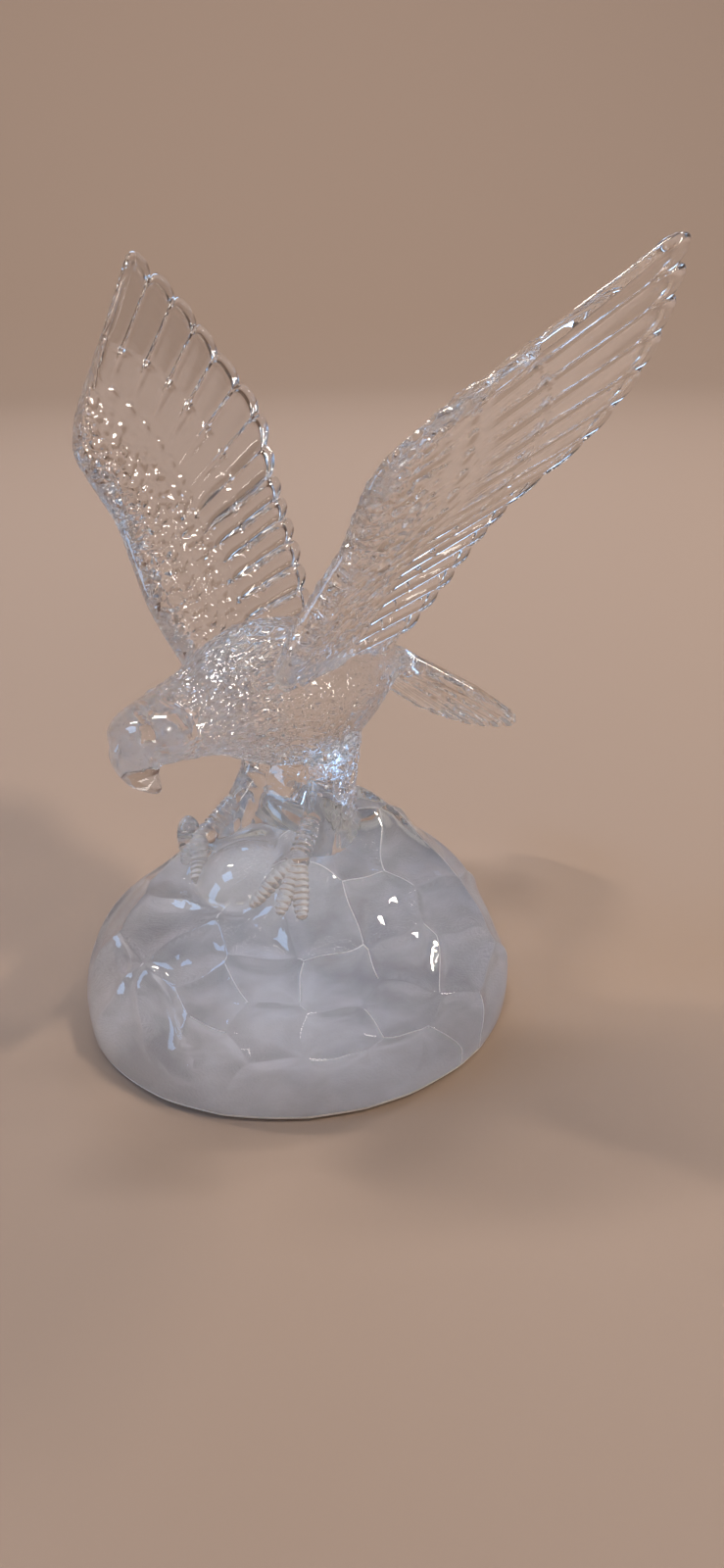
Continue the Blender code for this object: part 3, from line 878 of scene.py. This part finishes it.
def toes():
    """The front toes, from each ankle down over the rock, with tips as shares of its radius."""
    tips = (
        (0.161, -0.484),
        (0.308, -0.477),
        (0.393, -0.435),
        (-0.161, -0.466),
        (-0.288, -0.393),
        (-0.400, -0.280),
    )
    made = []
    for number, tip in enumerate(tips):
        share = np.linspace(0, 1, 64)
        start = ankle(math.copysign(1, tip[0]))
        end = np.array(tip) * ROCK_RADIUS
        start[:2] += 0.05 * (end - start[:2])
        flat = np.outer(1 - share, start[:2]) + np.outer(share, end)
        points = np.array([on_rock(x, y) for x, y in flat])
        points[:, 2] += (start[2] - points[0, 2]) * (1 - share) ** 2 + 0.35 * TOE_RADIUS * share
        radii = TOE_RADIUS * (1 - 0.5 * share**3)
        made.append(ridged_tube(f"toe_{number + 1}", points, radii, 20, TOE_RELIEF, True))
    return made


# The whole piece


def united(name, whole, others, materials):
    """One closed mesh of the first piece and all the others."""
    for piece in (whole, *others):
        for material in materials:
            piece.data.materials.append(material)
    joined = bpy.data.collections.new("joined_forms")
    scene = bpy.context.scene.collection
    scene.children.link(joined)
    scene.objects.link(whole)
    for other in others:
        joined.objects.link(other)
    union = whole.modifiers.new("union", "BOOLEAN")
    union.operation = "UNION"
    union.operand_type = "COLLECTION"
    union.collection = joined
    union.solver = "MANIFOLD"
    depsgraph = bpy.context.evaluated_depsgraph_get()
    mesh = bpy.data.meshes.new_from_object(whole.evaluated_get(depsgraph))
    for other in [whole, *others]:
        bpy.data.objects.remove(other)
    bpy.data.collections.remove(joined)
    mesh.name = name
    result = bpy.data.objects.new(name, mesh)
    scene.objects.link(result)
    return result


def spread_out(marks, a, b, share, turns):
    """Passes each corner's mark on along the edges, a share of it at each turn."""
    for _ in range(turns):
        wider = marks.copy()
        np.maximum.at(wider, a, share * marks[b])
        np.maximum.at(wider, b, share * marks[a])
        marks = wider
    return marks


def softened(obj):
    """Eases the creases where forms meet and the join of beak and head, as in pressed glass."""
    mesh = obj.data
    count, sides = len(mesh.vertices), len(mesh.edges)
    place = np.zeros(count * 3)
    mesh.vertices.foreach_get("co", place)
    place = place.reshape(-1, 3)
    ends = np.zeros(sides * 2, dtype=np.int32)
    mesh.edges.foreach_get("vertices", ends)
    a, b = ends.reshape(-1, 2).T
    shape = bmesh.new()
    shape.from_mesh(mesh)
    crease = np.array([e.calc_face_angle(0.0) for e in shape.edges])
    cut = np.array([any(len(f.verts) != 4 for f in e.link_faces) for e in shape.edges])
    shape.free()
    crisp = cut & (crease > CUT_CREASE) & (place[a, 2] > PERCH + 0.003)
    front = (place[:, 1] < HEAD_END + 0.001) & (place[:, 2] > PERCH + 0.335 * BODY_LENGTH)
    joined = (crease > HEAD_CREASE) & front[a] & front[b]
    sharp, head = np.zeros(count), np.zeros(count)
    sharp[a[crisp]] = sharp[b[crisp]] = 1
    head[a[joined]] = head[b[joined]] = 1
    sharp = spread_out(sharp, a, b, 0.75, 2)
    head = spread_out(head, a, b, 0.85, 6)
    degree = np.bincount(a, minlength=count) + np.bincount(b, minlength=count)
    for turn in range(HEAD_TURNS):
        total = np.zeros((count, 3))
        np.add.at(total, a, place[b])
        np.add.at(total, b, place[a])
        weight = 0.5 * np.maximum(head, sharp * (turn < CUT_TURNS))[:, None]
        place += weight * (total / degree[:, None] - place)
    mesh.vertices.foreach_set("co", place.ravel())
    mesh.update()


def dress(obj, materials):
    """Gives the mesh its materials and keeps which face has which."""
    numbers = np.zeros(len(obj.data.polygons), dtype=np.int32)
    obj.data.polygons.foreach_get("material_index", numbers)
    obj.data.materials.clear()
    for material in materials:
        obj.data.materials.append(material)
    obj.data.polygons.foreach_set("material_index", numbers)


# Glass


def glass(name, colour, roughness, transmission):
    """A material and its shader, with the plain values of a kind of glass."""
    material = bpy.data.materials.new(name)
    material.use_nodes = True
    shader = material.node_tree.nodes["Principled BSDF"]
    shader.inputs["Base Color"].default_value = (*colour, 1)
    shader.inputs["Roughness"].default_value = roughness
    shader.inputs["IOR"].default_value = GLASS_INDEX
    shader.inputs["Transmission Weight"].default_value = transmission
    return material, shader


def map_range(tree, value, low, high, smooth=False):
    """A node that turns a value's range from low to high into 0 to 1."""
    node = tree.nodes.new("ShaderNodeMapRange")
    node.inputs["From Min"].default_value = low
    node.inputs["From Max"].default_value = high
    if smooth:
        node.interpolation_type = "SMOOTHSTEP"
    tree.links.new(value, node.inputs["Value"])
    return node


def two_tones(tree, value, low, high):
    """The colour of a value between two pairs of position and colour."""
    node = tree.nodes.new("ShaderNodeValToRGB")
    for element, (position, colour) in zip(node.color_ramp.elements, (low, high)):
        element.position = position
        element.color = (*colour, 1)
    tree.links.new(value, node.inputs["Fac"])
    return node.outputs["Color"]


def vector_math(tree, operation, vector, values=(0, 0, 0)):
    """The outputs of a node that works on a vector and set values."""
    node = tree.nodes.new("ShaderNodeVectorMath")
    node.operation = operation
    node.inputs[1].default_value = values
    tree.links.new(vector, node.inputs[0])
    return node.outputs


def noise_bump(material, shader, scale, distance, strength, detail=3.0):
    """A fine unevenness of the pressed surface."""
    nodes, links = material.node_tree.nodes, material.node_tree.links
    where = nodes.new("ShaderNodeTexCoord")
    noise = nodes.new("ShaderNodeTexNoise")
    noise.inputs["Scale"].default_value = scale
    noise.inputs["Detail"].default_value = detail
    bump = nodes.new("ShaderNodeBump")
    bump.inputs["Strength"].default_value = strength
    bump.inputs["Distance"].default_value = distance
    links.new(where.outputs["Object"], noise.inputs["Vector"])
    links.new(noise.outputs["Fac"], bump.inputs["Height"])
    links.new(bump.outputs["Normal"], shader.inputs["Normal"])
    return noise


def pebbled(material, shader):
    """Small rounded bumps, longer than they are wide."""
    tree = material.node_tree
    where = tree.nodes.new("ShaderNodeTexCoord")
    drawn = tree.nodes.new("ShaderNodeMapping")
    drawn.inputs["Scale"].default_value = (1.0, 0.58, 0.85)
    cells = tree.nodes.new("ShaderNodeTexVoronoi")
    cells.feature = "DISTANCE_TO_EDGE"
    cells.inputs["Scale"].default_value = 300
    dome = map_range(tree, cells.outputs["Distance"], 0, 0.30, True)
    bump = tree.nodes.new("ShaderNodeBump")
    bump.inputs["Strength"].default_value = 1.0
    bump.inputs["Distance"].default_value = 0.0003
    tree.links.new(where.outputs["Object"], drawn.inputs["Vector"])
    tree.links.new(drawn.outputs["Vector"], cells.inputs["Vector"])
    tree.links.new(dome.outputs["Result"], bump.inputs["Height"])
    tree.links.new(bump.outputs["Normal"], shader.inputs["Normal"])


def clear_glass():
    """The smooth glass of the head, the feathers and the rock."""
    clear, shader = glass("clear_glass", GLASS_COLOUR, 0.015, 1.0)
    noise_bump(clear, shader, 90, 0.0011, 0.13, 2.0)
    return clear


def frosted_underside_and_painted_rim_highlight():
    """Grey frosting in soft clouds, with a painted highlight: a pale ring at the rim."""
    frosted, shader = glass("frosted_underside_and_painted_rim_highlight", (0.60, 0.60, 0.66), 0.5, 0.15)
    noise = noise_bump(frosted, shader, 900, 0.0005, 0.5)
    place = noise.inputs["Vector"].links[0].from_socket
    tree = frosted.node_tree
    cloud = tree.nodes.new("ShaderNodeTexNoise")
    cloud.inputs["Scale"].default_value = 22
    cloud.inputs["Detail"].default_value = 4
    tree.links.new(place, cloud.inputs["Vector"])
    grey, pale = (0.38, (0.39, 0.375, 0.40)), (0.66, (0.67, 0.66, 0.71))
    tones = two_tones(tree, cloud.outputs["Fac"], grey, pale)
    flat = vector_math(tree, "MULTIPLY", place, (1, 1, 0))["Vector"]
    reach = vector_math(tree, "LENGTH", flat)["Value"]
    # Painted highlight: the frosting turns pale warm white near the rim, standing in for the light that
    # the rim's bevel catches.
    rim = map_range(tree, reach, ROCK_RADIUS - 0.0050, ROCK_RADIUS - 0.0028)
    edge = tree.nodes.new("ShaderNodeMix")
    edge.data_type = "RGBA"
    edge.inputs["B"].default_value = (0.98, 0.96, 0.93, 1)
    tree.links.new(rim.outputs["Result"], edge.inputs["Factor"])
    tree.links.new(tones, edge.inputs["A"])
    tree.links.new(edge.outputs["Result"], shader.inputs["Base Color"])
    return frosted


def pale_seam():
    """The pale lines between the rock's scoops."""
    seam, shader = glass("pale_seam", (0.93, 0.93, 0.95), 0.4, 0.86)
    noise_bump(seam, shader, 900, 0.0004, 0.5)
    return seam


def feathered_glass():
    """The pebbled glass of the plumage."""
    plumage, shader = glass("feathered_glass", GLASS_COLOUR, 0.02, 1.0)
    pebbled(plumage, shader)
    return plumage


def matt_feather_ends_painted_blue_sheen():
    """The patchy matting at the ends of the tail feathers, with a bluish tint that is a painted sheen
    of cool window light.
    """
    # Painted sheen: the bluish white colour stands in for cool window light on the matting; the
    # roughness and the patchy see-through are the matting's own.
    matt, shader = glass("matt_feather_ends_painted_blue_sheen", (0.82, 0.91, 1.0), 0.35, 0.8)
    noise = noise_bump(matt, shader, 500, 0.0006, 0.6)
    cloud = map_range(matt.node_tree, noise.outputs["Fac"], 0.40, 0.60)
    cloud.inputs["To Min"].default_value = 0.5
    cloud.inputs["To Max"].default_value = 0.9
    matt.node_tree.links.new(cloud.outputs["Result"], shader.inputs["Transmission Weight"])
    return matt


def milky_toes():
    """The paler glass of the toes."""
    milky, shader = glass("milky_toes", (0.95, 0.95, 0.96), 0.27, 0.84)
    noise_bump(milky, shader, 900, 0.0004, 0.5)
    return milky


def materials():
    """All the kinds of glass, in the order of their numbers."""
    makers = (clear_glass, frosted_underside_and_painted_rim_highlight, pale_seam, feathered_glass, matt_feather_ends_painted_blue_sheen, milky_toes)
    return [make() for make in makers]


# Studio


def cove_mesh():
    """A round floor that curves up into a wall all round."""
    turn = np.linspace(0, math.pi / 2, 17)[1:]
    reach = COVE_RADIUS - COVE_BEND
    radii = np.concatenate([[0.4, 1.0, reach], reach + COVE_BEND * np.sin(turn), [COVE_RADIUS]])
    levels = np.concatenate([[0, 0, 0], COVE_BEND * (1 - np.cos(turn)), [COVE_HEIGHT]]) - COVE_GAP
    around = np.arange(COVE_SEGMENTS) * 2 * math.pi / COVE_SEGMENTS
    corners = [(0, 0, levels[0])]
    for radius, level in zip(radii, levels):
        corners += [(radius * math.cos(a), radius * math.sin(a), level) for a in around]
    faces = [(0, 1 + k, 1 + (k + 1) % COVE_SEGMENTS) for k in range(COVE_SEGMENTS)]
    for ring in range(len(radii) - 1):
        first = 1 + ring * COVE_SEGMENTS
        for k in range(COVE_SEGMENTS):
            near, far = first + k, first + (k + 1) % COVE_SEGMENTS
            faces.append((near, near + COVE_SEGMENTS, far + COVE_SEGMENTS, far))
    mesh = bpy.data.meshes.new("backdrop")
    mesh.from_pydata(corners, [], faces)
    mesh.shade_smooth()
    return mesh


def cove_material():
    """Pale round the piece and behind it, brown at the sides and dark high up, for the glass."""
    material = bpy.data.materials.new("pale_floor")
    material.use_nodes = True
    tree = material.node_tree
    shader = tree.nodes["Principled BSDF"]
    shader.inputs["Roughness"].default_value = 0.8
    place = tree.nodes.new("ShaderNodeTexCoord").outputs["Object"]
    split = tree.nodes.new("ShaderNodeSeparateXYZ")
    tree.links.new(place, split.inputs[0])
    height = map_range(tree, split.outputs["Z"], 0, COVE_HEIGHT)
    tones = two_tones(tree, height.outputs["Result"], (0.30, PALE), (0.48, DARK))
    flat = vector_math(tree, "MULTIPLY", place, (1, 1, 0))["Vector"]
    reach = vector_math(tree, "LENGTH", flat)["Value"]
    level = vector_math(tree, "NORMALIZE", flat)["Vector"]
    behind = vector_math(tree, "DOT_PRODUCT", level, BEHIND)["Value"]
    wedge = map_range(tree, behind, 0.70, 0.89, True)
    near = map_range(tree, reach, 1.4, 0.7, True)
    either = tree.nodes.new("ShaderNodeMath")
    either.operation = "MAXIMUM"
    blend = tree.nodes.new("ShaderNodeMix")
    blend.data_type = "RGBA"
    blend.inputs["A"].default_value = (*BROWN, 1)
    tree.links.new(wedge.outputs["Result"], either.inputs[0])
    tree.links.new(near.outputs["Result"], either.inputs[1])
    tree.links.new(either.outputs["Value"], blend.inputs["Factor"])
    tree.links.new(tones, blend.inputs["B"])
    tree.links.new(blend.outputs["Result"], shader.inputs["Base Color"])
    return material


def backdrop():
    """The cove that the piece stands in."""
    mesh = cove_mesh()
    cove = bpy.data.objects.new("backdrop", mesh)
    bpy.context.scene.collection.objects.link(cove)
    mesh.materials.append(cove_material())


def area_light(name, place, target, size, power, colour):
    """A soft oblong light that looks at its target."""
    data = bpy.data.lights.new(name, "AREA")
    data.shape = "RECTANGLE"
    data.size, data.size_y = size
    data.energy = power
    data.color = colour
    light = bpy.data.objects.new(name, data)
    light.location = place
    aim = Vector(target) - Vector(place)
    light.rotation_mode = "QUATERNION"
    light.rotation_quaternion = aim.to_track_quat("-Z", "Y")
    bpy.context.scene.collection.objects.link(light)


def studio():
    """A dim room with cool windows, small warm lamps, a fill and a wash on the wall behind."""
    world = bpy.data.worlds.new("studio")
    bpy.context.scene.world = world
    world.use_nodes = True
    tree = world.node_tree
    where = tree.nodes.new("ShaderNodeTexCoord")
    split = tree.nodes.new("ShaderNodeSeparateXYZ")
    tree.links.new(where.outputs["Generated"], split.inputs[0])
    tones = two_tones(tree, split.outputs["Z"], (0.0, (0.06, 0.05, 0.045)), (1.0, (0.05, 0.06, 0.08)))
    background = tree.nodes["Background"]
    background.inputs["Strength"].default_value = 0.9
    tree.links.new(tones, background.inputs["Color"])
    middle = (0, 0, 0.1)
    area_light("window", (-1.6, -1.7, 0.8), middle, (0.8, 1.3), 20, (0.40, 0.65, 1.0))
    area_light("window_back", (-0.95, 1.40, 1.25), middle, (0.9, 0.35), 5, (0.45, 0.68, 1.0))
    area_light("lamp", (1.2, 0.3, 2.0), middle, (0.30, 0.08), 26, (1.0, 0.86, 0.70))
    area_light("lamp_left", (-1.3, -0.1, 2.1), middle, (0.10, 0.36), 16, (1.0, 0.88, 0.74))
    area_light("lamp_back", (0.4, 1.7, 2.0), middle, (0.36, 0.10), 14, (1.0, 0.90, 0.80))
    area_light("window_high", (-1.1, -1.0, 2.1), middle, (0.8, 0.7), 12, (0.40, 0.65, 1.0))
    area_light("strip", (1.15, 0.75, 0.30), middle, (0.07, 0.50), 5, (1.0, 0.92, 0.82))
    area_light("fill", (1.6, -1.6, 1.2), middle, (0.5, 0.6), 9, (1.0, 0.93, 0.85))
    area_light("wall_wash", (-0.5, 0.7, 2.6), (-1.8, 2.6, 0.6), (1.0, 0.5), 72, (1.0, 0.93, 0.86))
    bpy.context.scene.view_settings.view_transform = "Standard"
    bpy.context.scene.cycles.max_bounces = LIGHT_BOUNCES
    bpy.context.scene.cycles.transmission_bounces = LIGHT_BOUNCES
    bpy.context.scene.cycles.glossy_bounces = LIGHT_BOUNCES


def camera():
    """The camera, at the place worked out from the round rim and the symmetric bird."""
    data = bpy.data.cameras.new("camera")
    view = bpy.data.objects.new("camera", data)
    bpy.context.scene.collection.objects.link(view)
    forward = Vector((-0.5197, 0.7505, -0.4083))
    right = Vector((0.8279, 0.5603, -0.0239))
    up = Vector((-0.2109, 0.3505, 0.9125))
    place = Matrix.Translation((0.2125, -0.2649, 0.2251))
    view.matrix_world = place @ Matrix((right, up, -forward)).transposed().to_4x4()
    data.lens = 27
    data.sensor_width = 36
    data.clip_start = 0.01
    bpy.context.scene.camera = view


def main():
    """The figurine, its studio and the camera."""
    left = [leg(), shank(), wing(), knuckle()]
    forms = [boulder(), knob(), web(), body(), beak(), tail(), *left, *map(mirrored, left), *toes()]
    glasses = materials()
    eagle = united("glass_eagle_fine", rock(), forms, glasses)
    softened(eagle)
    dress(eagle, glasses)
    eagle.data.shade_smooth()
    eagle.data.set_sharp_from_angle(angle=math.radians(38))
    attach(eagle, "root")
    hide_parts("glass_eagle")
    backdrop()
    studio()
    camera()


main()
